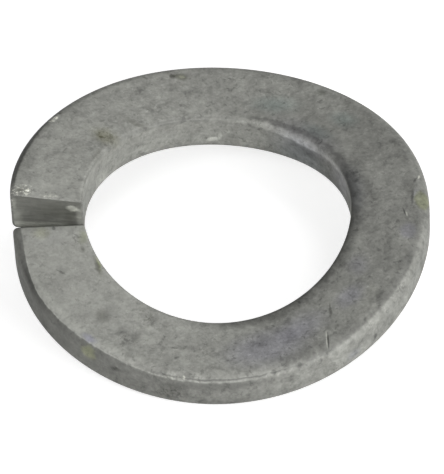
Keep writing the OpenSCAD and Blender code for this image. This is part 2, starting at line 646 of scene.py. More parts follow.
MARKS = (
    Mark("broad lilac patch, front", (5.4, -23.9, 6.2), (6.2, 3.3, 2.0), (0.95, 0.94, 1.06),
         turn=12.0, soft=0.7),
    Mark("lilac patch, front right", (10.4, -20.6, 6.6), (3.6, 2.2, 2.0), (1.05, 1.04, 1.16), turn=25.0),
    Mark("lilac patch, right", (17.2, -16.5, 7.7), (2.6, 1.6, 2.0), (1.05, 1.04, 1.17), turn=40.0, soft=0.8),
    Mark("lilac patch, far right", (25.8, -6.6, 9.6), (1.3, 1.5, 2.0), (0.95, 0.94, 1.06), soft=0.5),
    Mark("lilac patch, bore side", (18.6, -11.5, 8.5), (1.6, 1.8, 2.0), (0.965, 0.958, 1.042)),
    Mark("lilac streak, front left", (-18.6, -21.1, 7.1), (1.3, 0.5, 1.0), (0.91, 0.91, 1.108),
         turn=-40.0, soft=0.8),
    Mark("teal bloom, back", (8.8, 20.5, 9.2), (3.4, 1.7, 2.0), (0.874, 0.955, 0.964), turn=-8.0),
    Mark("teal bloom, back right", (18.2, 16.2, 9.6), (2.2, 1.5, 2.0), (0.874, 0.955, 0.964), turn=-30.0),
    Mark("blue bloom by the bore", (14.4, 14.4, 9.3), (2.6, 1.2, 2.0), (0.856, 0.919, 0.919), turn=-42.0),
    Mark("olive patch on the rim, right", (28.1, -1.0, 9.8), (1.2, 1.75, 1.4), (0.86, 0.89, 0.66),
         soft=0.3, height=0.03),
    Mark("light part of that patch", (27.4, -0.2, 9.9), (0.55, 1.2, 1.0), (1.36, 1.36, 1.46), soft=0.5),
    Mark("dark edge of that patch", (26.75, -0.5, 10.0), (0.26, 1.6, 1.0), 0.478, turn=-8.0, soft=0.6),
    Mark("nick above that patch", (27.8, 3.3, 10.1), (0.17, 0.55, 0.6), (2.6, 2.6, 2.5),
         turn=-15.0, soft=0.5, height=0.05),
    Mark("dark side of that nick", (27.4, 2.6, 10.1), (0.25, 0.7, 0.6), 0.595, turn=-20.0, soft=0.7),
    Mark("olive patch on the rim's wall", (-18.9, -22.1, 5.5), (1.3, 0.8, 1.3), (1.3, 1.34, 1.0),
         turn=-40.0, soft=0.5),
    Mark("dark spot on the wall", (-15.3, -24.7, 4.7), (0.85, 0.6, 0.5), (0.36, 0.36, 0.35),
         turn=-32.0, soft=0.7),
    Mark("dark pit in the right wall", (20.3, -20.9, 4.1), (0.35, 0.35, 0.5), 0.42,
         turn=45.0, soft=0.6, ragged=False, height=-0.04),
    Mark("brown stain, back left", (-15.2, 13.3, 11.9), (2.2, 1.5, 1.5), (0.76, 0.75, 0.64), turn=-45.0),
    Mark("brown stain's dark heart", (-16.0, 13.4, 11.9), (0.5, 0.7, 1.0), (0.748, 0.739, 0.676)),
    Mark("ring of a burst bubble", (-4.3, 26.2, 10.3), (1.0, 0.7, 1.0), (0.622, 0.631, 0.568), soft=0.5),
    Mark("floor of that bubble", (-4.2, 26.2, 10.3), (0.5, 0.3, 1.0), (1.5, 1.5, 1.42), soft=0.6),
    Mark("dark pit beside it", (-5.4, 26.2, 10.4), (0.5, 0.55, 1.0), (0.4, 0.4, 0.38),
         soft=0.6, height=-0.03),
    Mark("crust on the left rim", (-22.3, 16.6, 12.6), (0.9, 0.35, 0.6), (1.855, 1.855, 1.81),
         turn=38.0, soft=0.7, height=0.054),
    Mark("dark end of that crust", (-21.3, 17.8, 12.5), (0.5, 0.25, 0.6), (0.658, 0.658, 0.649),
         turn=38.0, soft=0.7),
    Mark("bright scratch", (13.55, -23.6, 6.9), (0.1, 1.5, 1.0), (1.9, 1.9, 1.855),
         soft=0.6, ragged=False, height=-0.018),
    Mark("dark side of the scratch", (13.74, -24.1, 6.9), (0.14, 1.6, 1.0), 0.406, soft=0.6, ragged=False),
    Mark("curved dark line above it", (14.3, -18.6, 7.2), (0.2, 1.5, 1.0), (0.505, 0.505, 0.496),
         turn=6.0, soft=0.7),
    Mark("dark stain, left", (-17.1, -8.9, 8.4), (0.4, 1.7, 1.5), (0.532, 0.532, 0.496),
         turn=12.0, soft=0.7),
    Mark("olive strip beside it", (-16.9, -8.3, 8.4), (0.3, 1.2, 1.5), (0.904, 0.944, 0.696),
         turn=12.0, soft=0.8),
    Mark("fine scratch, left", (-22.2, -9.6, 8.6), (0.8, 0.16, 1.0), 0.64, turn=-38.0, soft=0.6),
    Mark("dark blotch, front left", (-12.4, -21.1, 6.8), (0.9, 0.8, 1.5), 0.64),
    Mark("dark blotch beside it", (-14.2, -20.3, 6.9), (0.9, 0.6, 1.5), 0.694),
    Mark("dark blotch, left", (-16.6, -17.2, 7.4), (1.0, 1.3, 1.5), (0.748, 0.748, 0.73), turn=30.0),
    Mark("dark blotch, back right", (15.3, 22.1, 9.5), (0.8, 0.7, 1.5), (0.568, 0.577, 0.55)),
    Mark("dark blotch on the rim, back right", (18.9, 19.6, 9.7), (1.2, 0.6, 1.5), (0.784, 0.784, 0.775),
         turn=-40.0),
    Mark("second blotch there", (21.4, 16.9, 9.8), (1.1, 0.6, 1.5), 0.802, turn=-35.0),
    Mark("blotch on the rim, right", (25.0, 11.0, 10.2), (0.7, 1.1, 1.5), 0.712, turn=10.0),
    Mark("blotch inside it", (23.6, 7.4, 10.1), (1.6, 0.5, 1.5), 0.838, turn=15.0),
    Mark("blue-grey band by the bore, right", (19.1, 1.4, 9.8), (1.3, 4.6, 2.0), (0.874, 0.883, 0.937)),
    Mark("blue-grey bore wall, back right", (12.0, 13.8, 5.6), (5.6, 2.4, 3.0), (0.79, 0.82, 0.89),
         turn=-48.0, soft=0.8),
    Mark("lilac end of the bore wall", (17.4, 5.6, 7.5), (2.0, 3.6, 3.0), (1.0, 0.99, 1.08),
         turn=15.0, soft=0.8),
    Mark("tick on the right", (25.5, -3.1, 9.9), (0.13, 0.8, 1.0), 0.424, turn=12.0, soft=0.6, ragged=False),
    Mark("light side of the tick", (25.75, -3.5, 9.9), (0.13, 0.5, 1.0), (1.72, 1.72, 1.675),
         turn=12.0, soft=0.6, ragged=False),
    Mark("zinc bead on the bore's wall", (-0.25, 18.25, 5.35), (0.95, 0.5, 0.45), 1.68,
         soft=0.5, ragged=False, height=0.1),
    Mark("crust on the high end's corner", (-27.0, 1.2, 14.1), (1.7, 1.4, 1.2), (2.3, 2.3, 2.26),
         soft=0.5, height=0.08, broken=True),
    Mark("beads down that corner", (-28.3, 0.5, 12.9), (0.7, 1.2, 1.6), (2.6, 2.6, 2.55),
         soft=0.6, height=0.06, broken=True),
    Mark("crust by the cut", (-23.2, 0.1, 14.0), (1.2, 0.6, 0.8), (1.5, 1.5, 1.48),
         soft=0.6, height=0.06, broken=True),
    Mark("crust on the rim, left", (-22.3, 16.7, 12.6), (1.1, 0.5, 0.8), (1.9, 1.9, 1.86),
         turn=38.0, soft=0.6, height=0.06, broken=True),
    Mark("crust along the front edge", (-7.5, -27.8, 5.6), (3.0, 0.7, 0.6), (1.35, 1.35, 1.33),
         turn=12.0, soft=0.8, height=0.04, broken=True),
    Mark("specks in the brown stain", (-15.2, 13.3, 11.9), (2.2, 1.8, 1.5), (0.6, 0.6, 0.54),
         turn=-45.0, soft=0.8, broken=True),
    Mark("dark streak by the bore, back left", (-10.8, 16.3, 11.1), (3.0, 0.5, 1.0), (0.748, 0.748, 0.73),
         turn=-35.0, soft=0.8),
    Mark("dark streak by the bore, left", (-16.4, 9.3, 12.3), (0.5, 2.0, 1.0), (0.802, 0.802, 0.784),
         turn=-20.0),
    Mark("lighter patch, back right", (11.2, 22.3, 9.4), (5.8, 2.3, 2.0), 1.22, turn=-15.0),
    Mark("lighter patch in the teal", (17.4, 18.4, 9.6), (3.0, 1.9, 2.0), 1.2, turn=-42.0),
    Mark("lighter patch by the bore, front", (1.5, -20.8, 6.4), (3.0, 1.8, 1.5), 1.1),
    Mark("lighter patch, left", (-19.0, 14.6, 12.3), (2.6, 3.0, 1.5), 1.12),
    Mark("lighter patch, back", (-9.5, 22.3, 10.9), (2.0, 1.8, 2.0), 1.13),
    Mark("lighter patch, right", (21.9, 6.6, 10.1), (1.8, 3.0, 2.0), 1.17, turn=12.0),
    # painted shade on the rim's rounding at the right, where the right lamp lights it
    Mark("duller edge, right", (26.4, 6.6, 10.1), (0.9, 3.2, 1.5), 0.87, turn=14.0),
    Mark("dull smudge by the bore, right", (15.8, 12.8, 9.6), (1.2, 2.8, 1.5), 0.82, turn=39.0),
    Mark("dull foot of the bore wall, right", (16.6, 7.6, 5.2), (2.2, 3.4, 1.7), (0.8, 0.8, 0.82),
         turn=25.0),
    Mark("lighter patch, lower right", (19.5, -16.0, 8.0), (1.7, 1.5, 1.5), (1.22, 1.22, 1.2)),
    Mark("lighter patch, low end", (-23.6, -3.4, 9.6), (3.4, 2.0, 1.5), (1.12, 1.12, 1.14)),
    # painted shade low on the front wall
    Mark("duller foot of the front wall", (0.0, -28.8, 1.3), (5.5, 1.5, 1.3), 0.86),
    # painted shade across the front wall
    Mark("duller front wall", (-1.0, -28.9, 4.6), (6.0, 1.5, 1.0), 0.87),
    # painted shade on the front wall's left part
    Mark("duller front wall, left", (-14.4, -25.2, 3.2), (2.6, 1.6, 1.7), 0.87, turn=-30.0),
    Mark("lighter front wall, right", (9.9, -27.3, 4.5), (1.8, 1.2, 1.5), 1.15, turn=20.0),
    Mark("lighter strip, front", (0.0, -25.6, 6.0), (8.0, 1.8, 1.5), 1.11),
    # painted shade on the rim's rounding, front right, where it faces the lamps
    Mark("duller edge, front right", (16.6, -23.1, 7.0), (3.0, 1.6, 1.6), 0.84, turn=36.0),
    Mark("lighter edge, lower right", (19.3, -20.0, 7.3), (2.0, 2.9, 1.8), (1.16, 1.16, 1.15), turn=-10.0),
    Mark("lighter edge, left", (-23.0, -16.6, 7.6), (1.7, 1.7, 1.5), 1.16),
    # painted shade low on the front wall, left
    Mark("duller foot of the front wall, left", (-2.9, -28.9, 1.5), (2.4, 1.2, 1.3), 0.87),
    Mark("duller edge, front", (8.1, -26.3, 6.3), (2.7, 1.3, 1.0), 0.91, turn=10.0),
    # painted shade at the top of the front wall
    Mark("duller top of the front wall", (3.6, -28.8, 5.0), (2.0, 1.0, 1.1), 0.87, turn=5.0),
    Mark("duller band by the bore, right", (20.2, -2.4, 9.6), (1.8, 4.4, 1.5), 0.88),
    Mark("lighter bore wall, left", (-16.3, 8.4, 7.8), (1.8, 2.4, 2.0), 1.3),
    Mark("dark cross, front left", (-13.6, -21.4, 6.9), (1.6, 1.2, 1.0), 0.6, soft=0.8, broken=True),
    Mark("dark specks by the bore, front left", (-10.6, -17.4, 6.9), (1.2, 1.9, 1.0), (0.66, 0.66, 0.64),
         turn=30.0, soft=0.8, broken=True),
    Mark("dark speck, front", (-6.9, -24.9, 6.3), (0.3, 0.3, 0.6), 0.5, soft=0.6),
    Mark("dark specks, front", (0.9, -25.9, 6.1), (0.5, 1.1, 1.0), 0.6, soft=0.8, broken=True),
    Mark("dark blotch in the lilac", (5.1, -22.9, 6.2), (1.5, 1.0, 1.0), 0.766),
    Mark("dark specks in the lilac", (7.3, -25.6, 6.3), (1.1, 1.1, 1.0), 0.62, soft=0.8, broken=True),
    Mark("dark nick in the front edge", (6.1, -28.1, 5.6), (0.5, 0.4, 0.5), 0.505, turn=10.0, soft=0.7),
    Mark("second nick in that edge", (9.5, -27.2, 5.6), (0.4, 0.35, 0.5), 0.55, turn=20.0, soft=0.7),
    Mark("dark blotch on the front wall", (-8.0, -28.0, 3.0), (3.2, 1.0, 1.5), (0.748, 0.748, 0.739),
         turn=15.0),
    Mark("dark specks on the front wall", (-8.0, -28.0, 2.6), (3.6, 1.2, 1.7), (0.66, 0.66, 0.65),
         turn=15.0, soft=0.8, broken=True),
    Mark("dark patch on the right wall", (13.2, -26.0, 5.0), (0.7, 0.6, 0.9), (0.784, 0.784, 0.775),
         turn=30.0),
    Mark("blue-grey patch on the right wall", (17.2, -23.5, 3.4), (1.2, 0.9, 0.9), (0.874, 0.874, 0.955),
         turn=35.0, soft=0.8),
    Mark("upright end of that bead", (0.72, 18.24, 6.0), (0.34, 0.5, 0.75), 1.35,
         soft=0.5, ragged=False, height=0.1),
    Mark("blue-grey lip, back right", (12.8, 13.2, 8.8), (6.5, 2.8, 2.0), (0.99, 0.98, 1.05),
         turn=-45.0, soft=0.7),
    Mark("zinc crust, high end's corner", (-27.0, 1.2, 14.2), (1.4, 1.2, 1.0), (1.09, 1.09, 1.072),
         soft=0.5),
    Mark("bright bead", (-26.2, 1.25, 14.1), (0.38, 0.42, 0.6), (1.7, 1.7, 1.68),
         soft=0.6, ragged=False, height=0.08),
    Mark("dark middle of the crust", (-27.3, 1.3, 14.2), (0.5, 0.35, 0.6), (0.568, 0.568, 0.55),
         soft=0.6, ragged=False, height=-0.027),
    Mark("zinc patch by the cut", (-23.2, 0.08, 14.0), (1.0, 0.5, 0.8), (1.225, 1.225, 1.207), soft=0.7),
    Mark("olive tint, low end", (-24.7, -2.9, 9.7), (1.2, 1.1, 1.0), (1.014, 1.021, 0.888)),
    Mark("olive tint, low end's bore corner", (-18.9, -3.9, 9.4), (0.7, 1.2, 1.0), (0.936, 0.96, 0.824),
         soft=0.8),
    Mark("dark chip in the low end's edge", (-22.9, -2.3, 9.8), (0.3, 0.35, 0.6), 0.55,
         soft=0.5, ragged=False),
    Mark("dark loop, low end", (-19.8, -3.6, 9.4), (0.8, 0.14, 1.0), 0.73, turn=-35.0, soft=0.6),
    Mark("second dark loop", (-20.2, -4.2, 9.4), (0.7, 0.14, 1.0), 0.766, turn=-55.0, soft=0.6),
    Mark("dark spot, low end", (-19.1, -6.0, 9.0), (0.45, 0.55, 1.0), (0.622, 0.622, 0.604), soft=0.8),
    Mark("nick on the front edge", (-6.1, -28.05, 5.6), (0.2, 0.25, 0.3), (2.0, 2.0, 1.95),
         soft=0.5, ragged=False, height=0.04),
)

STEEL_MARKS = (
    Mark("lighter strip at the rim", (-28.2, -0.8, 11.0), (1.5, 2.0, 4.0), 1.315, soft=0.8),
    # painted shade of a hollow in the sheared face, which the mesh does not have
    Mark("darkest hollow", (-20.6, -1.3, 10.6), (0.9, 2.0, 1.4), (0.72, 0.72, 0.7)),
    Mark("bead over the bore corner", (-20.2, -1.2, 12.35), (0.85, 2.0, 0.5), 2.89, soft=0.5, height=0.072),
    Mark("tail of that bead", (-19.5, -1.2, 12.05), (0.7, 2.0, 0.35), 1.45, soft=0.6, height=0.036),
    Mark("lit foot, rim side", (-27.4, -1.0, 8.75), (3.0, 2.0, 0.8), 2.2, ragged=False),
    Mark("lit corner at the rim", (-28.1, -0.8, 10.0), (1.0, 2.0, 1.6), 1.4, ragged=False),
    Mark("lit foot, bore side", (-22.4, -1.2, 9.27), (6.0, 2.0, 0.52), 3.4, ragged=False),
    Mark("darker middle", (-22.4, -1.2, 11.6), (3.6, 2.0, 1.6), (0.82, 0.82, 0.8), ragged=False),
    Mark("beads down the rim's corner", (-28.3, 0.3, 12.9), (0.5, 0.6, 1.2), 1.81, soft=0.8, height=0.045),
    Mark("lighter strip at the bore", (-19.2, -1.5, 10.8), (0.55, 2.0, 2.2), (1.81, 1.81, 1.828), soft=0.6),
)


@dataclass(frozen=True)
class Course:
    """A value that changes in soft stages along the turn: where each begins, where it ends, by how much."""

    start: float
    stages: tuple[tuple[float, float, float], ...]

    def at(self, share: Term) -> Term:
        """The value at a share of the turn."""
        value: Plug = self.start
        for begins, ends, change in self.stages:
            value = steps(share, begins, ends) * change + value
        return value


class Edge(Enum):
    """What an edge's tone is measured from, in millimetres across the bar."""

    RIM = "the rim's upper corner"
    DRAWN_RIM = "that corner, further in at the high end"
    WALL = "the upper limit of the rim's wall"
    BORE = "the bore's upper corner"


# halves of a span that is open at its start or its end
OPEN_START = (-99.0, -98.0)
OPEN_END = (98.0, 99.0)


@dataclass(frozen=True)
class EdgeTone:
    """A strip along one of the bar's upper edges that is lighter than the coat, or darker below 0.

    It lies in two spans: one across the bar, in millimetres from its edge, and one along the turn, in
    shares. The mottle pushes its two limits by the rough millimetres and opens gaps in it. A fade takes
    part of it away between two shares. A strip that is off the wall stops where the rim's wall begins.
    """

    what: str
    edge: Edge
    gain: float
    across: Span
    along: Span
    rough: tuple[float, float] = (0.0, 0.0)
    gaps: tuple[float, float] | None = None
    fade: tuple[float, float, float] | None = None
    off_wall: bool = False

    def mask(self, across: Term, share: Term, patchy: Term) -> Term:
        """Works out where the strip shows.

        Args:
            across: millimetres from the strip's edge.
            share: share of the turn.
            patchy: mottle that roughens the strip's two limits and breaks it up.

        Returns:
            The strip's mask.
        """
        near = steps(across + patchy * self.rough[0], self.across[0], self.across[1])
        far = steps(across + patchy * self.rough[1], self.across[2], self.across[3])
        mask = near * (1.0 - far) * strip(share, self.along)
        if self.gaps:
            mask = mask * steps(patchy, *self.gaps)
        if self.fade:
            begins, ends, loss = self.fade
            mask = mask * (1.0 - steps(share, begins, ends) * loss)
        return mask


EDGE_TONES = (
    EdgeTone("worn line, front", Edge.WALL, 0.32, (-0.31, -0.022, 0.122, 0.41), (0.03, 0.08, 0.3, 0.38),
             rough=(0.3, 0.3), gaps=(-0.25, 0.12), fade=(0.2, 0.27, 0.6)),
    # painted shade of a groove above the worn line; the mesh has no groove
    EdgeTone("groove above it", Edge.WALL, -0.4, (0.34, 0.548, 0.652, 0.86), (0.17, 0.21, 0.27, 0.31),
             rough=(0.3, 0.3), gaps=(-0.5, -0.1)),
    EdgeTone("shade above the wall, right", Edge.WALL, -0.14, (-0.3, 0.34, 0.66, 1.3), (0.3, 0.34, 0.45, 0.5),
             rough=(0.3, 0.3)),
    # painted light on the low end's rounded outer corner, where the lamps leave it darker
    EdgeTone("light corner, low end", Edge.RIM, 0.25, (*OPEN_START, 1.2, 2.2), (*OPEN_START, 0.12, 0.2),
             off_wall=True),
    # painted shade on the right side's rounded outer corner, where it turns down
    EdgeTone("dark corner, right", Edge.RIM, -0.22, (*OPEN_START, 1.3, 2.4), (0.24, 0.32, 0.42, 0.5),
             off_wall=True),
    EdgeTone("light rim, back", Edge.RIM, 0.14, (*OPEN_START, 1.2, 2.0), (0.58, 0.62, 0.78, 0.84)),
    EdgeTone("dull rim, high end", Edge.RIM, -0.1, (*OPEN_START, 1.5, 4.0), (0.8, 0.86, *OPEN_END)),
    # painted shade on the sliver of outer wall seen at the high end
    EdgeTone("dark sliver of wall, high end", Edge.DRAWN_RIM, -0.6, (*OPEN_START, 0.35, 0.95),
             (0.85, 0.92, 0.97, 0.985), rough=(0.0, 0.3)),
    # painted shade on the bore's upper corner at the right and front, which faces away from the light
    EdgeTone("dark band by the bore, right", Edge.BORE, -0.5, (-0.6, 0.0, 0.4, 2.2), (0.17, 0.28, 0.53, 0.57),
             rough=(0.0, 0.9)),
    EdgeTone("light end of the bore's wall", Edge.BORE, 0.3, (*OPEN_START, -0.6, -0.1),
             (0.44, 0.48, 0.54, 0.575)),
    EdgeTone("shade under the lip", Edge.BORE, -0.24, (-3.9, -2.78, -2.22, -1.1), (0.56, 0.6, 0.63, 0.66)),
    # painted shade along the top face just outside the bore's corner, back right
    EdgeTone("dark line above the lip", Edge.BORE, -0.32, (0.2, 0.76, 1.04, 1.6), (0.5, 0.55, 0.68, 0.73),
             rough=(0.5, 0.5)),
    # painted shade that dims the highlight on the bore's upper corner, back left
    EdgeTone("thin dark line, back left", Edge.BORE, -0.26, (-0.8, -0.24, 0.04, 0.6), (0.68, 0.74, *OPEN_END),
             fade=(0.83, 0.89, 0.4)),
    # painted light on the bore's wall just below its upper corner, left
    EdgeTone("soft light lip, left", Edge.BORE, 0.1, (-2.6, -0.4, -0.4, -0.1), (0.78, 0.86, *OPEN_END)),
)


@dataclass(frozen=True)
class BarSpot:
    """Where a shaded point lies on the bar."""

    across: Term
    up: Term
    share: Term
    rim: Term
    bore: Term

    @classmethod
    def read(cls, tree: Tree, sizes: CoilSizes) -> BarSpot:
        """Reads the place that the winding stored.

        Args:
            tree: the material's tree.
            sizes: the bar's sizes, for the places of its edges.

        Returns:
            Its place across and up the section, each from -1 to 1, its share of the turn, and how many
            millimetres it is past the upper corners of the rim and the bore, below 0 on their walls.
        """
        kept = place(tree, "ShaderNodeAttribute", {"attribute_name": PLACE})
        parts = place(tree, "ShaderNodeSeparateXYZ", Vector=kept.outputs["Vector"])
        across, up, share = (Term(tree, part) for part in parts.outputs)
        half_width = sizes.bar_width * 0.5 / MM
        down = (1.0 - up) * (sizes.thickness * 0.5 / MM)
        return cls(across, up, share, (1.0 - across) * half_width - down, (1.0 + across) * half_width - down)


@dataclass(frozen=True)
class Ground:
    """A material in the making, with the shared groups and the position that they read."""

    material: Material
    effects: Effects
    spot: Plug

    @classmethod
    def new(cls, name: str, effects: Effects) -> Ground:
        """Starts a material that reads its patterns at the object's own position."""
        material = bpy.data.materials.new(name)
        material.use_nodes = True
        return cls(material, effects, material.node_tree.nodes.new("ShaderNodeTexCoord").outputs["Object"])

    @property
    def tree(self) -> Tree:
        """The material's node tree."""
        return self.material.node_tree

    def mottle(self, size: float, seed: float) -> Term:
        """Cloudy value between about -1 and 1, with blotches of a size in millimetres."""
        return self.effects.use(self.tree, "mottle", Vector=self.spot, Size=size * MM, Seed=seed)

    def spots(self, size: float, limit: float, seed: float) -> Term:
        """Mask of scattered ragged spots, on a pattern of a size in millimetres."""
        return self.effects.use(self.tree, "spots", Vector=self.spot, Size=size * MM, Limit=limit, Seed=seed)

    def ragged(self, size: float, reach: float) -> Term:
        """The position, pushed about on a pattern of a size and by a reach in millimetres."""
        return self.effects.use(self.tree, "ragged", Vector=self.spot, Size=size * MM, Reach=reach * MM)

    def marked(
        self, marks: Iterable[Mark], ragged: Term, grains: Plug, colour: Socket, height: Term,
    ) -> tuple[Socket, Term]:
        """Lays marks over a colour and a relief.

        Args:
            marks: the marks, in the order in which they lie.
            ragged: the position that the ragged ones read.
            grains: mask that breaks up the broken ones.
            colour: the colour so far.
            height: the relief so far, in millimetres.

        Returns:
            The new colour and the new relief.
        """
        for mark in marks:
            mask = self.effects.use(
                self.tree, "mark", Vector=ragged if mark.ragged else self.spot,
                Centre=[v * MM for v in mark.centre], Radii=[v * MM for v in mark.radii],
                Turn=math.radians(mark.turn), Soft=mark.soft,
            )
            if mark.broken:
                mask = mask * grains
            mix = place(self.tree, "ShaderNodeMix", {"data_type": "RGBA", "blend_type": "MULTIPLY"})
            for number, value in ((0, mask), (6, colour), (7, mark.factor())):
                feed(self.tree, value, mix.inputs[number])
            colour = mix.outputs[2]
            if mark.height:
                height = height + mask * mark.height
        return colour, height

    def finished(self, colour: Socket, height: Term, roughness: Term, metallic: float) -> Material:
        """Joins a finish to the shader.

        Args:
            colour: its colour.
            height: its relief in millimetres.
            roughness: its roughness.
            metallic: how far it is a metal.

        Returns:
            The material.
        """
        shader = self.tree.nodes["Principled BSDF"]
        bump = place(self.tree, "ShaderNodeBump", Height=height * MM, Distance=1.0, Strength=0.8)
        feed(self.tree, colour, shader.inputs["Base Color"])
        feed(self.tree, roughness, shader.inputs["Roughness"])
        feed(self.tree, metallic, shader.inputs["Metallic"])
        feed(self.tree, bump.outputs[0], shader.inputs["Normal"])
        return self.material


@dataclass(frozen=True)
class ZincCoat:
    """Dull hot-dip zinc: mottled grey, with stains, beads and worn edges, and with painted shade and painted
    highlights along its walls and edges.
    """

    colour: Colour = (0.272, 0.275, 0.252)
    roughness: float = 0.56
    roughness_spread: float = 0.1
    metallic: float = 0.25
    clouds: tuple[tuple[float, float], ...] = ((0.4, 0.3), (0.85, 0.28), (1.8, 0.3), (3.8, 0.24), (8.0, 0.16))
    pit_loss: float = 0.3
    pit_depth: float = 0.014
    fine_relief: float = 0.02
    broad_relief: float = 0.05
    blot_loss: float = 0.2
    fleck_gain: float = 0.2
    vein_loss: float = 0.12
    liveliness: Course = Course(0.66, ((0.1, 0.18, 0.34), (0.8, 0.88, -0.136)))
    topside: tuple[float, float] = (-1.0, -0.85)
    rim_corner: tuple[float, float] = (0.0, 0.5)
    bore_corner: tuple[float, float] = (-0.2, 0.2)
    streak_limit: tuple[float, float] = (-0.4, 0.2)
    streak_round: float = 14.0 * MM
    streak_gain: float = 0.15
    dull_side: float = 0.16
    dull_angle: float = math.radians(10.0)
    high_end: Course = Course(1.0, ((0.84, 0.94, 0.12),))
    right_span: Span = (0.26, 0.34, 0.5, 0.6)
    right_slope: float = 0.07
    # painted shade on the coat's rounded edge beside each sheared face, which takes away the highlight that
    # this rounding catches
    cut_corner: tuple[float, float] = (0.0, 0.7)
    cut_edge_shade: float = 0.3
    rim_drawn: Course = Course(0.0, ((0.86, 0.95, 0.6),))
    # painted shade on the rim's wall: where its upper limit lies below the rim's corner, how soft that limit
    # is, how dark it is along the turn (darkest near the low end, gone beyond the front), darker at its crown
    # and lighter towards its foot
    wall_top: Course = Course(
        2.1, ((0.012, 0.075, -2.1), (0.125, 0.21, -0.95), (0.3, 0.37, 1.15), (0.42, 0.48, 0.8)),
    )
    wall_rough: float = 0.12
    wall_softness: Course = Course(0.12, ((0.27, 0.33, 0.3),))
    wall_shade: Course = Course(0.43, ((0.02, 0.05, 0.14), (0.04, 0.12, -0.24), (0.24, 0.32, -0.33)))
    wall_crown: float = 1.06
    wall_foot_rough: float = 0.3
    wall_foot: Span = (*OPEN_START, -2.4, -0.6)
    wall_foot_lift: Course = Course(0.6, ((0.03, 0.1, -0.3),))
    # a little painted shade on the wall from the front right onwards, where the lamps light it
    lit_wall_shade: Course = Course(0.0, ((0.28, 0.36, 0.05),))
    # painted highlight along the bore's upper corner: its limits across the bar and along the turn, and its
    # strength
    lip_rough: float = 0.1
    lip_comes: tuple[float, float] = (-0.25, 0.25)
    lip_goes: tuple[float, float] = (-0.9, 0.5)
    lip_foot: Course = Course(-1.25, ((0.59, 0.615, -0.3), (0.63, 0.645, 0.3), (0.65, 0.71, 0.7)))
    lip_crown: Course = Course(0.0, ((0.645, 0.685, 1.0),))
    lip_span: Span = (0.53, 0.57, 0.73, 0.79)
    lip_highlight_gain: Course = Course(0.525, ((0.585, 0.61, 0.35), (0.638, 0.655, -0.35)))
    lip_fade: Course = Course(1.0, ((0.65, 0.71, -0.65),))
    edge_tones: tuple[EdgeTone, ...] = EDGE_TONES
    marks: tuple[Mark, ...] = MARKS

    def material(self, effects: Effects, sizes: CoilSizes) -> Material:
        """Builds the finish.

        Args:
            effects: the shared shader groups.
            sizes: the bar's sizes, for the places of its edges.

        Returns:
            The material.
        """
        ground = Ground.new("zinc coat", effects)
        bar = BarSpot.read(ground.tree, sizes)
        pits = ground.spots(size=0.9, limit=0.58, seed=7.0)
        tone = self.clouded(ground, pits, bar.share) * self.sides(bar, sizes.split_angle)
        topside = steps(bar.up, *self.topside)
        tone = tone * ((self.streaks(ground, bar) * self.edges(ground, bar) - 1.0) * topside + 1.0)
        # painted shade on the rounded edge beside each sheared face
        kept = place(ground.tree, "ShaderNodeAttribute", {"attribute_name": SHEARED})
        cut = steps(Term(ground.tree, kept.outputs["Fac"]), *self.cut_corner)
        tone = tone * (1.0 - cut * self.cut_edge_shade)

        relief = ground.mottle(size=0.5, seed=20.0) * self.fine_relief - pits * self.pit_depth
        relief = relief + ground.mottle(size=1.6, seed=21.0) * self.broad_relief
        grains = ground.spots(size=0.55, limit=0.5, seed=60.0)
        ragged = ground.ragged(size=1.1, reach=1.1)
        colour = scaled(ground.tree, self.colour, tone)
        colour, relief = ground.marked(self.marks, ragged, grains, colour, relief)
        roughness = ground.mottle(size=1.5, seed=30.0) * self.roughness_spread + self.roughness
        return ground.finished(colour, relief, roughness, self.metallic)

    def clouded(self, ground: Ground, pits: Term, share: Term) -> Term:
        """Works out the coat's mottle, which is calmer towards the two ends.

        Args:
            ground: the material in the making.
            pits: mask of its fine pits.
            share: share of the turn.

        Returns:
            A tone about 1.
        """
        tone: Plug = 1.0
        for number, (size, depth) in enumerate(self.clouds):
            tone = ground.mottle(size, float(number)) * depth + tone
        blots = ground.spots(size=2.2, limit=0.56, seed=9.0)
        flecks = ground.spots(size=0.7, limit=0.61, seed=11.0)
        veins = ground.effects.use(ground.tree, "veins", Vector=ground.spot, Size=2.6 * MM, Seed=13.0)
        tone = tone * (1.0 - pits * self.pit_loss) * (1.0 - blots * self.blot_loss)
        tone = tone * (1.0 + flecks * self.fleck_gain) * (1.0 - veins * self.vein_loss)
        return (tone - 1.0) * self.liveliness.at(share) + 1.0

    def sides(self, bar: BarSpot, split_angle: float) -> Term:
        """Works out the broad tones of the upper face: duller towards one side, lighter at the high end.

        Args:
            bar: where the point lies on the bar.
            split_angle: angle of the split, in radians.

        Returns:
            A tone about 1.
        """
        on_top = steps(bar.rim, *self.rim_corner) * steps(bar.bore, *self.bore_corner)
        turn = bar.share * math.tau + split_angle
        duller = 1.0 - (turn - self.dull_angle).cos() * on_top * self.dull_side
        sloped = 1.0 + bar.across * strip(bar.share, self.right_span) * on_top * self.right_slope
        return duller * sloped * self.high_end.at(bar.share)

    def streaks(self, ground: Ground, bar: BarSpot) -> Term:
        """Tone of the bore's wall, with streaks that run along the bar."""
        drawn = place(ground.tree, "ShaderNodeCombineXYZ", X=bar.share * self.streak_round, Y=bar.bore * MM)
        streaks = replace(ground, spot=drawn.outputs[0]).mottle(size=0.7, seed=25.0)
        return 1.0 + streaks * (1.0 - steps(bar.bore, *self.streak_limit)) * self.streak_gain

    def edges(self, ground: Ground, bar: BarSpot) -> Term:
        """Works out the tones that follow the bar's upper edges and walls, mostly painted shade and painted
        highlights.

        Args:
            ground: the material in the making.
            bar: where the point lies on the bar.

        Returns:
            A tone about 1.
        """
        patchy = ground.mottle(size=1.1, seed=40.0)
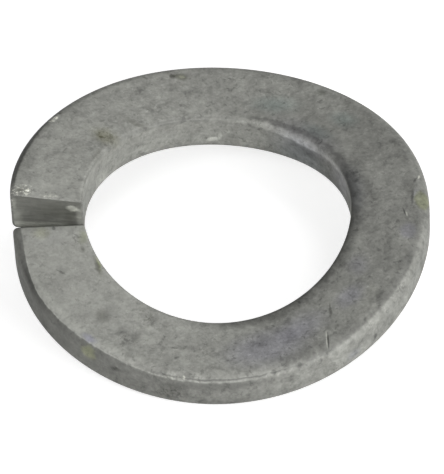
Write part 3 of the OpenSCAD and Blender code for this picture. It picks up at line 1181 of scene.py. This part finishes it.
        # painted shade on the rim's wall: where it begins, how dark it is, lighter towards the wall's foot
        from_wall = bar.rim - self.wall_top.at(bar.share)
        softness = self.wall_softness.at(bar.share)
        wall = 1.0 - steps(from_wall + patchy * self.wall_rough, softness * -1.0, softness)
        foot = strip(from_wall + patchy * self.wall_foot_rough, self.wall_foot)
        shade = self.wall_shade.at(bar.share) * (self.wall_crown - foot * self.wall_foot_lift.at(bar.share))
        # the wall's painted shade, the painted shade that dims the lit wall on the right, and the painted
        # highlight along the bore's lip
        tone = (1.0 - wall * shade) * (1.0 - wall * self.lit_wall_shade.at(bar.share)) * self.lip(bar, patchy)
        scales = {
            Edge.RIM: bar.rim,
            Edge.DRAWN_RIM: bar.rim - self.rim_drawn.at(bar.share),
            Edge.WALL: from_wall,
            Edge.BORE: bar.bore,
        }
        for edge in self.edge_tones:
            mask = edge.mask(scales[edge.edge], bar.share, patchy)
            if edge.off_wall:
                mask = mask * (1.0 - wall)
            tone = tone * (mask * edge.gain + 1.0)
        return tone

    def lip(self, bar: BarSpot, patchy: Term) -> Term:
        """Painted highlight along the lip over the bore's wall, whose limits move along the turn."""
        above_foot = steps(bar.bore + patchy * self.lip_rough - self.lip_foot.at(bar.share), *self.lip_comes)
        past_crown = steps(bar.bore - self.lip_crown.at(bar.share), *self.lip_goes)
        gain = self.lip_highlight_gain.at(bar.share) * self.lip_fade.at(bar.share) * strip(bar.share, self.lip_span)
        return above_foot * (1.0 - past_crown) * gain + 1.0


@dataclass(frozen=True)
class ShearedSteel:
    """Dark steel of the two sheared faces, dragged along the cut."""

    colour: Colour = (0.128, 0.13, 0.116)
    roughness: float = 0.5
    roughness_spread: float = 0.12
    metallic: float = 0.3
    drag: tuple[float, float, float] = (0.16, 0.3, 1.0)
    fine_tone: float = 0.3
    broad_tone: float = 0.35
    grain_tone: float = 0.2
    fine_relief: float = 0.02
    broad_relief: float = 0.05
    marks: tuple[Mark, ...] = STEEL_MARKS

    def material(self, effects: Effects) -> Material:
        """Builds the finish.

        Args:
            effects: the shared shader groups.

        Returns:
            The material.
        """
        ground = Ground.new("sheared steel", effects)
        dragged = replace(ground, spot=vector_maths(ground.tree, "MULTIPLY", ground.spot, self.drag))
        fine = dragged.mottle(size=0.35, seed=50.0)
        broad = dragged.mottle(size=0.9, seed=51.0)
        grain = ground.mottle(size=0.6, seed=52.0)
        tone = fine * self.fine_tone + broad * self.broad_tone + grain * self.grain_tone + 1.0
        colour = scaled(ground.tree, self.colour, tone)
        ragged = ground.ragged(size=0.9, reach=0.8)
        relief = fine * self.fine_relief + broad * self.broad_relief
        colour, relief = ground.marked(self.marks, ragged, 1.0, colour, relief)
        return ground.finished(colour, relief, fine * self.roughness_spread + self.roughness, self.metallic)


@dataclass(frozen=True)
class Lamp:
    """One square soft lamp that faces the washer."""

    what: str
    azimuth: float
    height: float
    watts: float
    width: float = 0.35
    away: float = 0.6


@dataclass
class Studio:
    """Floor, lamps, world and camera."""

    elevation: float = 44.683
    roll: float = 3.409
    distance: float = 803.4 * MM
    pixels_per_metre: float = 7231.4
    centre_px: tuple[float, float] = (219.119, 212.294)
    aim_height: float = 8.865 * MM
    sensor: float = 36.0
    clip: tuple[float, float] = (0.01, 20.0)
    floor_half: float = 3.0
    floor_colour: tuple[float, float, float, float] = (0.8, 0.8, 0.8, 1.0)
    floor_roughness: float = 0.9
    floor_glow: float = 0.6
    world_light: float = 0.15
    white: tuple[float, float, float, float] = (1.0, 1.0, 1.0, 1.0)
    lamps: tuple[Lamp, ...] = (
        Lamp("front right softbox", 315.0, 20.0, 2.0),
        Lamp("front softbox", 270.0, 20.0, 1.4),
        Lamp("right softbox", 0.0, 20.0, 0.8),
        Lamp("back right softbox", 45.0, 50.0, 1.1),
        Lamp("front left softbox", 225.0, 50.0, 0.8),
    )

    def build(self) -> None:
        """Makes the floor, the light and the camera."""
        self.camera()
        self.floor()
        self.light()

    def camera(self) -> None:
        """Places the camera as the photograph's stood."""
        tilt = math.radians(self.elevation)
        back = Vector((0.0, -math.cos(tilt), math.sin(tilt)))
        up = Vector((0.0, math.sin(tilt), math.cos(tilt)))
        right = Vector((1.0, 0.0, 0.0))
        spin = Matrix.Rotation(math.radians(-self.roll), 3, back)
        right, up = spin @ right, spin @ up
        origin = Vector((0.0, 0.0, self.aim_height))
        eye = origin + back * self.distance
        off_x = (IMAGE_W / 2 - self.centre_px[0]) / self.pixels_per_metre
        off_y = -(IMAGE_H / 2 - self.centre_px[1]) / self.pixels_per_metre
        aim = origin + right * off_x + up * off_y
        look = (eye - aim).normalized()
        side = up.cross(look).normalized()
        top = look.cross(side)
        data = bpy.data.cameras.new("camera")
        data.sensor_width = self.sensor
        focal_px = self.pixels_per_metre * self.distance
        data.lens = focal_px / IMAGE_H * data.sensor_width
        data.clip_start, data.clip_end = self.clip
        camera = bpy.data.objects.new("camera", data)
        bpy.context.scene.collection.objects.link(camera)
        frame = Matrix((side, top, look)).transposed().to_4x4()
        camera.matrix_world = Matrix.Translation(eye) @ frame
        bpy.context.scene.camera = camera

    def floor(self) -> None:
        """Lays a pale floor."""
        mesh = bpy.data.meshes.new("floor")
        half = self.floor_half
        corners = [(-half, -half, 0.0), (half, -half, 0.0), (half, half, 0.0), (-half, half, 0.0)]
        mesh.from_pydata(corners, [], [(0, 1, 2, 3)])
        floor = bpy.data.objects.new("floor", mesh)
        bpy.context.scene.collection.objects.link(floor)
        material = bpy.data.materials.new("pale floor")
        material.use_nodes = True
        tree = material.node_tree
        shader = tree.nodes["Principled BSDF"]
        shader.inputs["Base Color"].default_value = self.floor_colour
        shader.inputs["Roughness"].default_value = self.floor_roughness
        rays = tree.nodes.new("ShaderNodeLightPath")
        glow = place(tree, "ShaderNodeEmission", Color=self.white)
        feed(tree, Term(tree, rays.outputs["Is Camera Ray"]) * self.floor_glow, glow.inputs["Strength"])
        both = tree.nodes.new("ShaderNodeAddShader")
        tree.links.new(shader.outputs[0], both.inputs[0])
        tree.links.new(glow.outputs[0], both.inputs[1])
        tree.links.new(both.outputs[0], tree.nodes["Material Output"].inputs[0])
        mesh.materials.append(material)

    def light(self) -> None:
        """Sets the world and the soft lamps."""
        world = bpy.data.worlds.new("studio")
        bpy.context.scene.world = world
        world.use_nodes = True
        tree = world.node_tree
        rays = tree.nodes.new("ShaderNodeLightPath")
        seen = Term(tree, rays.outputs["Is Camera Ray"])
        background = tree.nodes["Background"]
        background.inputs["Color"].default_value = self.white
        feed(tree, seen * (1.0 - self.world_light) + self.world_light, background.inputs["Strength"])
        for lamp in self.lamps:
            self.hang(lamp)

    def hang(self, lamp: Lamp) -> None:
        """Hangs one lamp."""
        turn, rise = math.radians(lamp.azimuth), math.radians(lamp.height)
        way = Vector((math.cos(rise) * math.cos(turn), math.cos(rise) * math.sin(turn), math.sin(rise)))
        data = bpy.data.lights.new(lamp.what, "AREA")
        data.shape = "SQUARE"
        data.size = lamp.width
        data.energy = lamp.watts
        light = bpy.data.objects.new(lamp.what, data)
        light.location = way * lamp.away
        light.rotation_mode = "QUATERNION"
        light.rotation_quaternion = way.to_track_quat("Z", "Y")
        bpy.context.scene.collection.objects.link(light)


def main() -> None:
    """Builds the washer and its studio in order."""
    logging.basicConfig(level=logging.INFO, format="%(name)s: %(message)s")
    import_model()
    bpy.context.scene.view_settings.view_transform = "Standard"

    effects = Effects()
    bar = WoundBar()
    washer = bar.build(ZincCoat().material(effects, bar.sizes), ShearedSteel().material(effects))
    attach(washer, "root")
    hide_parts(NODE)
    log.info("washer seated")

    Studio().build()
    bpy.context.view_layer.update()


if __name__ == "__main__":
    main()
